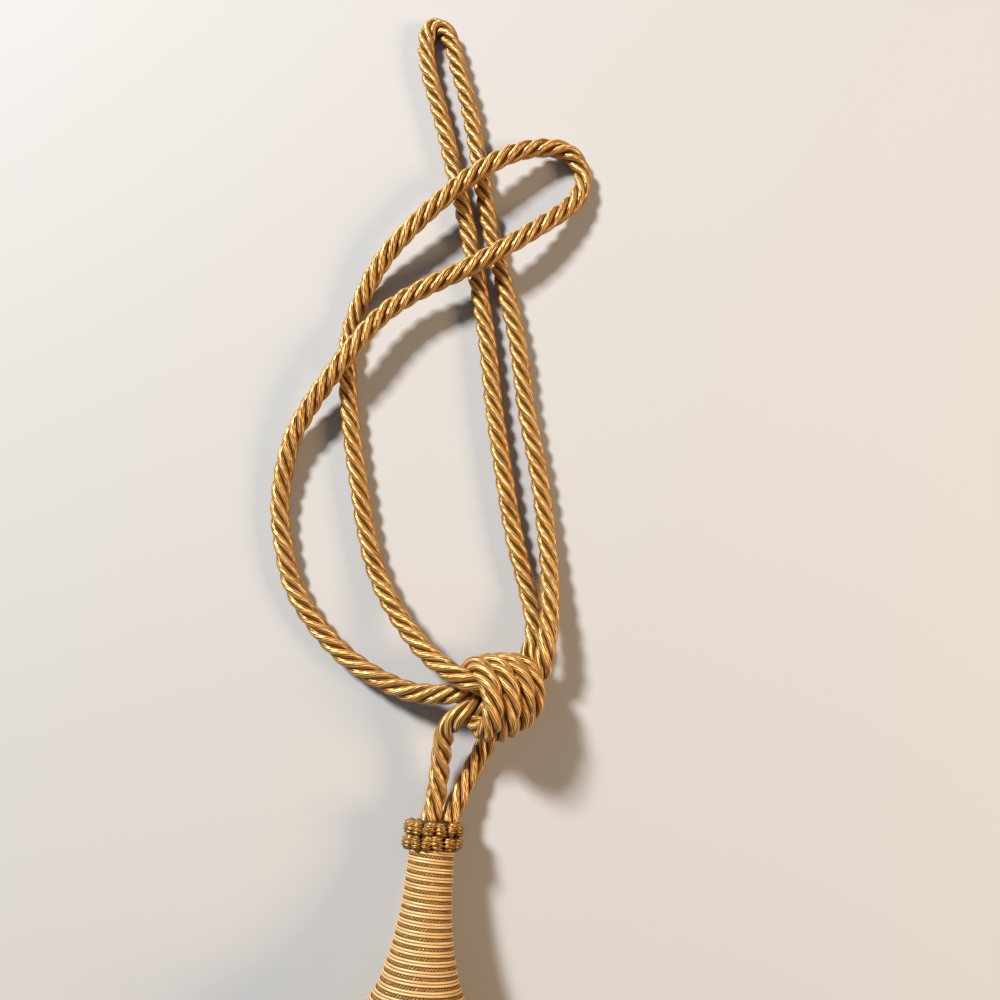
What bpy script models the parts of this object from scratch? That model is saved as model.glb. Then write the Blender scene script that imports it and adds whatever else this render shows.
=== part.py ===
# Curtain tieback: a twisted cord laid in two loops, bound by a coil of the same cord, with one tassel
# hanging from the coil. It lies on its back on a table: X across, Y up along the tassel, Z away from
# the table, which is z = 0.
import math

import bmesh
import bpy
from mathutils import Vector

MM = 0.001

# Cord
CORD_RADIUS = 4.75 * MM
CORD_BEVEL_RESOLUTION = 3
CORD_SIDES = 4 + 2 * CORD_BEVEL_RESOLUTION
CORD_REST = CORD_RADIUS * math.cos(math.pi / CORD_SIDES) + 0.08 * MM  # a lying cord's centre line
LONGEST_STEP = 24 * MM
LARGEST_TURN = math.radians(13)

# The layout below is drawn about its own centre. This moves it to the object's origin.
ORIGIN_OFFSET = Vector((36.63 * MM, 224.7 * MM, 0.0))

# Coil of cord around the knot: it leans down to its right-hand end
COIL_START = Vector((-10.0 * MM, -94.5 * MM, 26.3 * MM))  # centre of the first, left-hand turn
COIL_PITCH = 7.2 * MM
COIL_BEARING = math.radians(11)
COIL_TILT_FIRST = math.radians(28)
COIL_TILT_LAST = math.radians(50)
COIL_TURN_RADIUS = [15.0 * MM, 15.0 * MM, 14.4 * MM, 12.8 * MM]  # to the cord's centre, left to right
COIL_STEPS_A_TURN = 9
COIL_SIDES = 28

# Tassel
TASSEL_START = Vector((-30.0 * MM, -154.7 * MM, 13.5 * MM))  # centre of the ruff
TASSEL_BEARING = math.radians(4.1)
TASSEL_RISE = math.radians(13)

RUFF_HALF_LENGTH = 6.6 * MM
RUFF_BORE = 8.4 * MM
RUFF_BAND_RADIUS = 11.4 * MM
LOOP_RADIUS = 3.2 * MM
LOOP_RING_RADIUS = 10.7 * MM
LOOP_ROW = 3.3 * MM
LOOPS_A_ROW = 11

HEAD_SIDES = 36

SKIRT_SIDES = 36
SKIRT_START = 84.4 * MM
LOCKS = 12
LOCK_LENGTH = 88 * MM
LOCK_GAP_AT_TIP = 3.2 * MM

# Routes of the cord's centre lines, in mm: lift is the height above a cord that lies on the table
UPPER_LOOP_ROUTE = [
    # x, y, lift
    (14.0, -74.8, 3.4), (16.2, -69.5, 2.3), (16.3, -60.0, 0.8), (14.5, -49.6, 0.0), (11.7, -37.6, 0.0),
    (7.3, -20.5, 0.0), (1.5, 14.4, 0.0), (-3.0, 46.7, 0.0), (-6.7, 82.2, 0.0), (-10.3, 106.0, 0.0),
    (-17.9, 147.2, 0.0), (-23.4, 171.3, 0.0), (-28.4, 194.6, 0.0), (-34.6, 219.6, 0.0), (-38.7, 235.2, 0.0),
    (-40.3, 248.6, 0.0), (-40.2, 255.4, 0.0), (-39.2, 259.6, 0.0), (-36.5, 262.1, 0.0), (-32.9, 262.2, 0.0),
    (-29.6, 259.6, 0.0), (-27.2, 255.0, 0.0), (-25.6, 249.9, 0.0), (-23.4, 240.1, 0.0), (-17.9, 219.6, 0.0),
    (-12.3, 188.7, 0.0), (-5.8, 147.2, 0.0), (3.6, 106.0, 0.0),
    (9.2, 79.5, 0.0), (13.1, 46.7, 0.0), (18.9, 14.4, 0.0), (22.5, -15.7, 1.0), (23.9, -42.6, 4.5),
    (22.9, -61.4, 9.5), (20.8, -75.0, 12.0),
]
SIDE_LOOP_ROUTE = [
    # x, y, lift
    (-21.3, -81.9, 22.8), (-24.9, -80.0, 20.9), (-34.8, -72.6, 14.5), (-46.1, -59.6, 7.5), (-55.8, -44.9, 2.5),
    (-61.4, -31.8, 0.4), (-65.7, -15.6, 0.0), (-69.3, 4.3, 0.0), (-73.5, 28.6, 0.0), (-76.2, 50.4, 0.0),
    (-77.8, 68.8, 0.0), (-76.8, 84.8, 0.0), (-71.4, 102.0, 1.7), (-61.7, 120.8, 4.5), (-49.2, 135.7, 7.5),
    (-35.9, 149.0, 9.2), (-22.6, 160.8, 9.9), (-9.3, 170.9, 9.9), (6.3, 181.0, 8.0), (22.7, 187.0, 4.1),
    (36.2, 186.1, 1.2), (43.6, 175.4, 0.0), (40.6, 160.2, 1.4), (28.5, 147.2, 5.0), (13.3, 135.2, 8.6),
    (-1.0, 125.5, 9.9), (-15.2, 117.4, 9.9), (-30.3, 109.9, 9.2), (-45.4, 102.2, 8.4), (-60.1, 90.6, 9.3),
    (-73.4, 74.0, 10.0), (-85.2, 58.1, 8.3), (-95.8, 43.2, 5.1), (-103.9, 27.6, 2.1), (-108.4, -2.0, 0.0),
    (-105.6, -24.0, 0.0), (-98.7, -45.8, 0.0), (-75.5, -74.1, 2.1), (-42.6, -91.5, 8.5), (-22.8, -92.6, 11.8),
]
NECK_LEFT_ROUTE = [
    # x, y, lift
    (-19.8, -101.6, 21.7), (-21.3, -103.7, 20.3), (-24.7, -109.0, 16.2), (-26.6, -117.3, 11.0), (-27.5, -127.5, 8.2),
    (-28.8, -136.3, 7.9), (-30.9, -146.2, 8.9),
]
NECK_RIGHT_ROUTE = [
    # x, y, lift
    (-3.8, -110.9, 3.3), (-5.0, -112.9, 2.5), (-7.9, -118.5, 1.0), (-11.6, -125.3, 1.0), (-16.6, -134.6, 2.6),
    (-21.9, -145.9, 4.8),
]

# The wooden mould, wound with cord: distance along the tassel from the ruff's centre, and radius, in mm
HEAD_PROFILE = [
    # along, radius
    (-6.4, 0.0), (-6.4, 7.3), (-5.7, 8.0), (7.0, 8.0), (7.0, 10.1), (7.6, 10.6), (14.0, 10.6), (20.0, 10.8),
    (26.0, 11.2), (32.0, 11.8), (38.0, 12.7), (44.0, 13.9), (50.0, 15.4), (56.0, 17.5), (61.0, 20.1),
    (66.0, 23.4), (70.0, 26.5), (74.0, 29.5), (78.0, 32.0), (81.0, 33.4), (83.5, 33.9), (86.0, 33.4),
    (87.6, 31.9), (88.0, 30.2), (87.2, 29.4), (84.0, 29.2), (84.0, 0.0),
]

# The skirt, from inside the mould's rim to its ends, in mm. lean is the section's tilt in degrees.
SKIRT_SECTIONS = [
    # along, half_width, bottom, top, lean
    (0.0, 28.6, 4.3, 60.8, 13.0), (5.0, 28.6, 4.2, 61.0, 13.0), (14.0, 31.0, 0.6, 60.0, 12.0),
    (26.0, 34.5, -0.4, 55.0, 10.0), (42.0, 38.5, -0.6, 46.0, 7.0), (60.0, 42.0, -0.6, 37.0, 4.0),
    (80.0, 45.0, -0.6, 29.0, 2.0), (102.0, 47.5, -0.6, 23.0, 0.0), (122.0, 49.0, -0.6, 19.5, 0.0),
    (136.0, 49.5, -0.6, 17.0, 0.0),
]

MATERIALS = {
    # name: (colour, roughness, metallic)
    "gold_cord": ((0.50, 0.30, 0.09), 0.42, 0.0),
    "coil_cord": ((0.46, 0.27, 0.08), 0.42, 0.0),
    "neck_cord": ((0.44, 0.26, 0.08), 0.42, 0.0),
    "ruff_gimp": ((0.30, 0.18, 0.06), 0.55, 0.0),
    "head_winding": ((0.60, 0.38, 0.16), 0.45, 0.0),
    "skirt_yarn": ((0.42, 0.28, 0.10), 0.60, 0.0),
}


def clear_scene():
    for thing in list(bpy.data.objects):
        bpy.data.objects.remove(thing, do_unlink=True)


def make_collection(name):
    collection = bpy.data.collections.new(name)
    bpy.context.scene.collection.children.link(collection)
    return collection


def make_material(name):
    colour, roughness, metallic = MATERIALS[name]
    material = bpy.data.materials.new(name)
    material.use_nodes = True
    shader = material.node_tree.nodes["Principled BSDF"]
    shader.inputs["Base Color"].default_value = (*colour, 1.0)
    shader.inputs["Roughness"].default_value = roughness
    shader.inputs["Metallic"].default_value = metallic
    return material


def add_object(name, data, collection, parent, material_name):
    thing = bpy.data.objects.new(name, data)
    collection.objects.link(thing)
    thing.parent = parent
    data.materials.append(make_material(material_name))
    return thing


def mesh_from_bmesh(name, bm):
    mesh = bpy.data.meshes.new(name)
    bm.to_mesh(mesh)
    bm.free()
    return mesh


def smooth_shade(mesh, sharp_angle=math.radians(40)):
    mesh.shade_smooth()
    mesh.set_sharp_from_angle(angle=sharp_angle)


def smooth_curve(points, steps=16):
    """A centripetal Catmull-Rom curve through the points, sampled in equal steps between them."""
    ends = [2 * points[0] - points[1]] + points + [2 * points[-1] - points[-2]]
    knots = [0.0]
    for a, b in zip(ends[:-1], ends[1:]):
        knots.append(knots[-1] + math.sqrt((b - a).length))
    curve = []
    for i in range(1, len(ends) - 2):
        p0, p1, p2, p3 = ends[i - 1:i + 3]
        t0, t1, t2, t3 = knots[i - 1:i + 3]
        for step in range(steps):
            t = t1 + (t2 - t1) * step / steps
            a1 = p0 * ((t1 - t) / (t1 - t0)) + p1 * ((t - t0) / (t1 - t0))
            a2 = p1 * ((t2 - t) / (t2 - t1)) + p2 * ((t - t1) / (t2 - t1))
            a3 = p2 * ((t3 - t) / (t3 - t2)) + p3 * ((t - t2) / (t3 - t2))
            b1 = a1 * ((t2 - t) / (t2 - t0)) + a2 * ((t - t0) / (t2 - t0))
            b2 = a2 * ((t3 - t) / (t3 - t1)) + a3 * ((t - t1) / (t3 - t1))
            curve.append(b1 * ((t2 - t) / (t2 - t1)) + b2 * ((t - t1) / (t2 - t1)))
    curve.append(points[-1])
    return curve


def thin_out(curve):
    """Keeps a point of the curve wherever it has run LONGEST_STEP or turned LARGEST_TURN."""
    kept = [curve[0]]
    run = 0.0
    turned = 0.0
    for before, here, after in zip(curve[:-2], curve[1:-1], curve[2:]):
        run += (here - before).length
        turned += (here - before).angle(after - here)
        if run >= LONGEST_STEP or turned >= LARGEST_TURN:
            kept.append(here)
            run = 0.0
            turned = 0.0
    if (kept[-1] - curve[-1]).length < CORD_RADIUS:
        kept.pop()
    kept.append(curve[-1])
    return kept


def make_cord(name, route, collection, parent, material_name):
    points = [Vector((x * MM, y * MM, CORD_REST + lift * MM)) for x, y, lift in route]
    kept = thin_out(smooth_curve(points))
    data = bpy.data.curves.new(name, "CURVE")
    data.dimensions = "3D"
    data.twist_mode = "Z_UP"
    data.bevel_depth = CORD_RADIUS
    data.bevel_resolution = CORD_BEVEL_RESOLUTION
    data.use_fill_caps = True
    spline = data.splines.new("POLY")
    spline.points.add(len(kept) - 1)
    for spot, point in zip(spline.points, kept):
        spot.co = (*point, 1.0)
    return add_object(name, data, collection, parent, material_name)


def make_table_cutter(collection, parent):
    """A block whose top is the table: what it cuts gets its flat resting spot."""
    bm = bmesh.new()
    bmesh.ops.create_cube(bm, size=1.0)
    bmesh.ops.translate(bm, verts=bm.verts, vec=(0.0, 0.0, -0.5))
    cutter = bpy.data.objects.new("table_cutter", mesh_from_bmesh("table_cutter", bm))
    collection.objects.link(cutter)
    cutter.parent = parent
    cutter.hide_render = True
    cutter.display_type = "WIRE"
    return cutter


def add_boolean(thing, other, operation):
    cut = thing.modifiers.new(operation.lower(), "BOOLEAN")
    cut.operation = operation
    cut.solver = "EXACT"
    cut.object = other


def closed_loft(rings):
    """A closed body through rings of the same number of points, with a fan at each end."""
    bm = bmesh.new()
    rows = [[bm.verts.new(point) for point in ring] for ring in rings]
    count = len(rows[0])
    for row, following in zip(rows[:-1], rows[1:]):
        for i in range(count):
            j = (i + 1) % count
            bm.faces.new((row[i], row[j], following[j], following[i]))
    for row in (rows[0], rows[-1]):
        middle = bm.verts.new(sum((vert.co for vert in row), Vector()) / count)
        for i in range(count):
            bm.faces.new((row[i], row[(i + 1) % count], middle))
    bmesh.ops.recalc_face_normals(bm, faces=bm.faces)
    return bm


def coil_axis(turn):
    """The coil's centre and its axis at a number of turns from the first."""
    steps = 24
    centre = COIL_START.copy()
    bearing = Vector((math.cos(COIL_BEARING), math.sin(COIL_BEARING), 0.0))
    last = len(COIL_TURN_RADIUS) - 1
    for step in range(steps):
        here = turn * (step + 0.5) / steps
        tilt = COIL_TILT_FIRST + (COIL_TILT_LAST - COIL_TILT_FIRST) * here / last
        along = bearing * math.cos(tilt) - Vector((0.0, 0.0, math.sin(tilt)))
        centre += along * (COIL_PITCH * turn / steps)
    tilt = COIL_TILT_FIRST + (COIL_TILT_LAST - COIL_TILT_FIRST) * turn / last
    return centre, bearing * math.cos(tilt) - Vector((0.0, 0.0, math.sin(tilt)))


def coil_radius(turn):
    """The distance from the coil's axis to the cord's centre, between the named turns."""
    last = len(COIL_TURN_RADIUS) - 1
    turn = min(max(turn, 0.0), float(last))
    before = min(int(turn), last - 1)
    part = turn - before
    return COIL_TURN_RADIUS[before] * (1 - part) + COIL_TURN_RADIUS[before + 1] * part


def make_coil(collection, parent):
    """The wound form: a barrel with one round ridge for each turn of the cord, as a screw thread."""
    turns = len(COIL_TURN_RADIUS)
    count = turns * COIL_STEPS_A_TURN
    across = Vector((-math.sin(COIL_BEARING), math.cos(COIL_BEARING), 0.0))
    rings = []
    for step in range(count + 1):
        turn = turns * step / count - 0.5
        centre, along = coil_axis(turn)
        outward = along.cross(across)
        ring = []
        for side in range(COIL_SIDES):
            angle = 2 * math.pi * side / COIL_SIDES
            # the cord is at its front, a quarter turn round, at each whole turn
            phase = (turn + angle / (2 * math.pi) - 0.25) % 1.0 - 0.5
            offset = (0.5 - abs(phase)) * COIL_PITCH
            ridge = math.sqrt(CORD_RADIUS ** 2 - min(offset, COIL_PITCH / 2) ** 2)
            reach = coil_radius(turn) + ridge
            ring.append(centre + (across * math.cos(angle) + outward * math.sin(angle)) * reach)
        rings.append(ring)
    bm = closed_loft(rings)
    return add_object("knot_coil", mesh_from_bmesh("knot_coil", bm), collection, parent, "coil_cord")


def tassel_frame():
    """The tassel's axis and the two directions across it: to its side, and upwards."""
    flat = Vector((-math.sin(TASSEL_BEARING), -math.cos(TASSEL_BEARING), 0.0))
    side = Vector((-math.cos(TASSEL_BEARING), math.sin(TASSEL_BEARING), 0.0))
    along = flat * math.cos(TASSEL_RISE) + Vector((0.0, 0.0, math.sin(TASSEL_RISE)))
    return along, side, along.cross(side)


def place_on_tassel(thing):
    """Turns an object modelled along +Z so that it lies along the tassel's axis, at the ruff."""
    along, side, up = tassel_frame()
    thing.location = TASSEL_START
    thing.rotation_mode = "QUATERNION"
    thing.rotation_quaternion = along.to_track_quat("Z", "Y")


def turned(name, profile, sides, collection, parent, material_name):
    """A profile of (along, radius) rows in metres, turned about Z by a Screw modifier."""
    bm = bmesh.new()
    verts = [bm.verts.new((radius, 0.0, along)) for along, radius in profile]
    for a, b in zip(verts[:-1], verts[1:]):
        bm.edges.new((a, b))
    thing = add_object(name, mesh_from_bmesh(name, bm), collection, parent, material_name)
    screw = thing.modifiers.new("turn", "SCREW")
    screw.steps = sides
    screw.render_steps = sides
    screw.use_merge_vertices = True
    screw.merge_threshold = 0.00002
    screw.use_normal_flip = True
    screw.use_smooth_shade = False
    return thing


def make_head(collection, parent, table):
    profile = [(along * MM, radius * MM) for along, radius in HEAD_PROFILE]
    head = turned("wound_head", profile, HEAD_SIDES, collection, parent, "head_winding")
    place_on_tassel(head)
    add_boolean(head, table, "DIFFERENCE")
    return head


def make_ruff(collection, cutters, parent, table):
    """A band around the mould's neck with two rows of round gimp loops, staggered."""
    half = RUFF_HALF_LENGTH
    edge = 1.2 * MM
    profile = [
        (-half, RUFF_BORE), (-half, RUFF_BAND_RADIUS - edge), (-half + edge, RUFF_BAND_RADIUS),
        (half - edge, RUFF_BAND_RADIUS), (half, RUFF_BAND_RADIUS - edge), (half, RUFF_BORE), (-half, RUFF_BORE),
    ]
    ruff = turned("ruff", profile, 2 * LOOPS_A_ROW, collection, parent, "ruff_gimp")
    place_on_tassel(ruff)
    for row, height in enumerate((-LOOP_ROW, LOOP_ROW)):
        bm = bmesh.new()
        for loop in range(LOOPS_A_ROW):
            angle = 2 * math.pi * (loop + 0.5 * row) / LOOPS_A_ROW
            made = bmesh.ops.create_uvsphere(bm, u_segments=8, v_segments=5, radius=LOOP_RADIUS)
            centre = Vector((math.cos(angle), math.sin(angle), 0.0)) * LOOP_RING_RADIUS
            bmesh.ops.translate(bm, verts=made["verts"], vec=centre + Vector((0.0, 0.0, height)))
        name = "ruff_loops_" + str(row + 1)
        loops = bpy.data.objects.new(name, mesh_from_bmesh(name, bm))
        cutters.objects.link(loops)
        loops.parent = parent
        loops.hide_render = True
        loops.display_type = "WIRE"
        place_on_tassel(loops)
        add_boolean(ruff, loops, "UNION")
    # the bore is cleared again for the mould's neck
    bm = bmesh.new()
    bmesh.ops.create_cone(
        bm, cap_ends=True, segments=2 * LOOPS_A_ROW, radius1=RUFF_BORE, radius2=RUFF_BORE, depth=4 * half
    )
    bore = bpy.data.objects.new("ruff_bore", mesh_from_bmesh("ruff_bore", bm))
    cutters.objects.link(bore)
    bore.parent = parent
    bore.hide_render = True
    bore.display_type = "WIRE"
    place_on_tassel(bore)
    add_boolean(ruff, bore, "DIFFERENCE")
    add_boolean(ruff, table, "DIFFERENCE")
    return ruff


def skirt_sections():
    """Each section's ring: a rounded lens between its bottom and top, tilted by its lean."""
    axis, side, _ = tassel_frame()
    flat = Vector((axis.x, axis.y, 0.0)).normalized()
    start = TASSEL_START + axis * SKIRT_START
    start.z = 0.0
    rings = []
    for along, half_width, bottom, top, lean in SKIRT_SECTIONS:
        lean = math.radians(lean)
        middle = (bottom + top) / 2 * MM
        half_height = (top - bottom) / 2 * MM
        # a low section is a little boxier than an ellipse
        power = 1.0 if along < 20.0 else 0.86
        ring = []
        for step in range(SKIRT_SIDES):
            angle = 2 * math.pi * step / SKIRT_SIDES
            across = math.copysign(abs(math.cos(angle)) ** power, math.cos(angle)) * half_width * MM
            height = math.copysign(abs(math.sin(angle)) ** power, math.sin(angle)) * half_height
            point = start + flat * (along * MM - height * math.sin(lean)) + side * across
            point.z = middle + height * math.cos(lean)
            ring.append(point)
        rings.append(ring)
    return rings


def make_skirt(collection, cutters, parent, table):
    """The skirt as one comb: a solid header under the mould and locks of yarn beyond it."""
    skirt = add_object(
        "skirt", mesh_from_bmesh("skirt", closed_loft(skirt_sections())), collection, parent, "skirt_yarn"
    )
    axis, side, _ = tassel_frame()
    flat = Vector((axis.x, axis.y, 0.0)).normalized()
    length = SKIRT_SECTIONS[-1][0] * MM
    half_width = SKIRT_SECTIONS[-1][1] * MM
    tip = TASSEL_START + axis * SKIRT_START + flat * length
    tip.z = 0.0
    beyond = 0.1
    bm = bmesh.new()
    for gap in range(1, LOCKS):
        share = 2 * gap / LOCKS - 1
        across = half_width * share
        # the gaps fan out from the middle of the rim, each a thin wedge that is widest at the ends
        root = tip - flat * LOCK_LENGTH + side * (across * 0.80)
        outer = tip + flat * 0.01 + side * (across * 1.02)
        edge = side * (LOCK_GAP_AT_TIP / 2)
        corners = [root - edge * 0.2, root + edge * 0.2, outer + edge, outer - edge]
        low = [bm.verts.new(corner - Vector((0.0, 0.0, beyond))) for corner in corners]
        high = [bm.verts.new(corner + Vector((0.0, 0.0, beyond))) for corner in corners]
        bm.faces.new(low)
        bm.faces.new(high)
        for i in range(4):
            j = (i + 1) % 4
            bm.faces.new((low[i], low[j], high[j], high[i]))
    bmesh.ops.recalc_face_normals(bm, faces=bm.faces)
    gaps = bpy.data.objects.new("lock_gaps", mesh_from_bmesh("lock_gaps", bm))
    cutters.objects.link(gaps)
    gaps.parent = parent
    gaps.hide_render = True
    gaps.display_type = "WIRE"
    add_boolean(skirt, gaps, "DIFFERENCE")
    add_boolean(skirt, table, "DIFFERENCE")
    return skirt


def main():
    clear_scene()
    tieback = make_collection("curtain_tieback")
    cutters = make_collection("cutters")
    origin = bpy.data.objects.new("tieback_origin", None)
    tieback.objects.link(origin)
    origin.location = ORIGIN_OFFSET
    table = make_table_cutter(cutters, origin)

    make_cord("upper_loop", UPPER_LOOP_ROUTE, tieback, origin, "gold_cord")
    make_cord("side_loop", SIDE_LOOP_ROUTE, tieback, origin, "gold_cord")
    make_cord("neck_left", NECK_LEFT_ROUTE, tieback, origin, "neck_cord")
    make_cord("neck_right", NECK_RIGHT_ROUTE, tieback, origin, "neck_cord")
    coil = make_coil(tieback, origin)
    add_boolean(coil, table, "DIFFERENCE")
    make_ruff(tieback, cutters, origin, table)
    make_head(tieback, origin, table)
    make_skirt(tieback, cutters, origin, table)


main()
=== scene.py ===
import math

import bpy
import numpy as np
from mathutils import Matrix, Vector


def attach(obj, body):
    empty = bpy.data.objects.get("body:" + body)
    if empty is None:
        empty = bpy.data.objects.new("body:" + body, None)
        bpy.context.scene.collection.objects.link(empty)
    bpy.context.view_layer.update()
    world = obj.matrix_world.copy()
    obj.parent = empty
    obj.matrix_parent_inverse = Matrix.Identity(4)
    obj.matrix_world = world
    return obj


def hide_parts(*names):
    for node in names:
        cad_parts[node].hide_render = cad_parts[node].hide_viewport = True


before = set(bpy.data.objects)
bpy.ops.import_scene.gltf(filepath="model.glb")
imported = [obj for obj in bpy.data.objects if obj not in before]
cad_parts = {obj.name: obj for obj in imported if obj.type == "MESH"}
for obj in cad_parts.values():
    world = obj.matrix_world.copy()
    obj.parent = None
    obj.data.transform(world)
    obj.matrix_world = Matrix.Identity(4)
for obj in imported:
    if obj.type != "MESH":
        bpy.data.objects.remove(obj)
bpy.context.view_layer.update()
mm = 0.001


def hexColour(text, alpha=1.0):
    # sRGB hex to the linear colour that sockets take
    channels = [int(text[i:i + 2], 16) / 255 for i in (1, 3, 5)]
    linear = [c / 12.92 if c <= 0.04045 else ((c + 0.055) / 1.055) ** 2.4 for c in channels]
    return (*linear, alpha)


def smoothRoute(route, step, spanPoints=40):
    # centripetal Catmull-Rom curve through the rows of x, y, z, resampled to equal steps of arc length
    p = np.asarray(route, float)
    p = np.vstack([2 * p[0] - p[1], p, 2 * p[-1] - p[-2]])
    knot = np.concatenate([[0], np.cumsum(np.sqrt(np.linalg.norm(np.diff(p, axis=0), axis=1)))])
    t = np.linspace(knot[1:-2], knot[2:-1], spanPoints, axis=1)[..., None]
    k = [knot[i:len(knot) - 3 + i, None, None] for i in range(4)]
    q = [p[i:len(p) - 3 + i, None, :] for i in range(4)]
    a1 = (k[1] - t) / (k[1] - k[0]) * q[0] + (t - k[0]) / (k[1] - k[0]) * q[1]
    a2 = (k[2] - t) / (k[2] - k[1]) * q[1] + (t - k[1]) / (k[2] - k[1]) * q[2]
    a3 = (k[3] - t) / (k[3] - k[2]) * q[2] + (t - k[2]) / (k[3] - k[2]) * q[3]
    b1 = (k[2] - t) / (k[2] - k[0]) * a1 + (t - k[0]) / (k[2] - k[0]) * a2
    b2 = (k[3] - t) / (k[3] - k[1]) * a2 + (t - k[1]) / (k[3] - k[1]) * a3
    curve = ((k[2] - t) / (k[2] - k[1]) * b1 + (t - k[1]) / (k[2] - k[1]) * b2).reshape(-1, 3)
    # each span starts on the last one's end, and that doubled point is dropped
    curve = curve[np.concatenate([[True], np.linalg.norm(np.diff(curve, axis=0), axis=1) > 1e-7])]
    return resample(curve, step)


def resample(curve, step):
    # the same polyline with its points an equal run apart, as near to the step as divides it evenly
    run = arcLength(curve)
    even = np.linspace(0, run[-1], max(int(round(run[-1] / step)), 2) + 1)
    return interpolateRows(even, run, curve)


def arcLength(curve):
    # run from the first point to each point: the sum of the chords before it
    return np.concatenate([[0], np.cumsum(np.linalg.norm(np.diff(curve, axis=0), axis=1))])


def unit(v):
    # every vector divided by its own length
    return v / np.linalg.norm(v, axis=-1, keepdims=True)


def crossAxes(curve, reference):
    # the two directions across a curve: the reference less its part along the tangent, and one square to both
    tangent = unit(np.gradient(curve, axis=0))
    reference = np.broadcast_to(np.asarray(reference, float), curve.shape)
    up = unit(reference - tangent * np.sum(reference * tangent, axis=1, keepdims=True))
    return up, np.cross(tangent, up)


def interpolateRows(at, known, rows):
    # each column of the rows, read off in straight lines between the known places
    return np.stack([np.interp(at, known, rows[:, i]) for i in range(rows.shape[1])], axis=1)


def tubeFaces(rings, sides):
    # quads between neighbouring rings of a tube, as rows of vertex numbers
    ring, side = np.meshgrid(np.arange(rings - 1), np.arange(sides), indexing="ij")
    ahead = (side + 1) % sides
    quads = [ring * sides + side, ring * sides + ahead, (ring + 1) * sides + ahead, (ring + 1) * sides + side]
    return np.stack(quads, axis=-1).reshape(-1, 4)


def meshFromArrays(name, points, quads, triangles=None, uv=None, sharp=None):
    # one mesh from whole arrays: quads first, then triangles; uv has a row for each corner, and edges that
    # turn more than the sharp angle, in degrees, stay crisp
    triangles = np.zeros((0, 3), int) if triangles is None else triangles
    corners = np.concatenate([quads.ravel(), triangles.ravel()]).astype(np.int32)
    sizes = np.concatenate([np.full(len(quads), 4), np.full(len(triangles), 3)])
    starts = np.concatenate([[0], np.cumsum(sizes)[:-1]]).astype(np.int32)
    mesh = bpy.data.meshes.new(name)
    mesh.vertices.add(len(points))
    mesh.vertices.foreach_set("co", points.astype(np.float32).ravel())
    mesh.loops.add(len(corners))
    mesh.loops.foreach_set("vertex_index", corners)
    mesh.polygons.add(len(starts))
    mesh.polygons.foreach_set("loop_start", starts)
    mesh.update(calc_edges=True)
    if uv is not None:
        layer = mesh.uv_layers.new(name="lay")
        layer.data.foreach_set("uv", uv.astype(np.float32).ravel())
    mesh.validate()
    mesh.shade_smooth()
    if sharp:
        mesh.set_sharp_from_angle(angle=math.radians(sharp))
    thing = bpy.data.objects.new(name.replace(" ", "_"), mesh)
    bpy.context.scene.collection.objects.link(thing)
    return thing


def sideCorners(sideOf, sides):
    # the last quad of each ring closes on the first point: there its far corners count one whole turn on
    sideOf[:, 1:3] += (sideOf[:, 1:3] == 0) * sides
    return sideOf


def capTriangles(points, rings, sides, starts=(0,)):
    # a fan from the mean of each end ring of each tube; returns those centre points and the triangles
    side = np.arange(sides)
    ahead = (side + 1) % sides
    centres, fans = [], []
    count = len(points)
    for start in starts:
        last = start + (rings - 1) * sides
        centres += [points[start:start + sides].mean(axis=0), points[last:last + sides].mean(axis=0)]
        first = np.stack([start + ahead, start + side, np.full(sides, count)], axis=1)
        second = np.stack([last + side, last + ahead, np.full(sides, count + 1)], axis=1)
        fans += [first, second]
        count += 2
    return np.array(centres), np.concatenate(fans)


camera = {
    "reach": 0.36232,  # metres from the lens to the aim
    "tilt": 9.0,  # degrees back from straight down
    "aim": (0.03663, 0.2247, 0.0),
    "lens": 26.09,
    "sensor": 36,
    "clipStart": 0.01,
}
tilt = math.radians(camera["tilt"])
camData = bpy.data.cameras.new("camera")
camData.lens = camera["lens"]
camData.sensor_width = camera["sensor"]
camData.clip_start = camera["clipStart"]
cam = bpy.data.objects.new("camera", camData)
cam.location = Vector(camera["aim"]) + camera["reach"] * Vector((0, -math.sin(tilt), math.cos(tilt)))
cam.rotation_euler = (tilt, 0, 0)
bpy.context.scene.collection.objects.link(cam)
bpy.context.scene.camera = cam
print("camera placed")


def addNode(tree, kind, settings=None, inputs=None):
    # adds a node, sets its properties, then sets or links its inputs
    node = tree.nodes.new(kind)
    for label, value in (settings or {}).items():
        setattr(node, label, value)
    for label, value in (inputs or {}).items():
        if isinstance(value, bpy.types.NodeSocket):
            tree.links.new(value, node.inputs[label])
        else:
            node.inputs[label].default_value = value
    return node


def newMaterial(name):
    # a node material with its own Principled shader
    material = bpy.data.materials.new(name)
    material.use_nodes = True
    tree = material.node_tree
    return material, tree, tree.nodes["Principled BSDF"]


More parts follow.
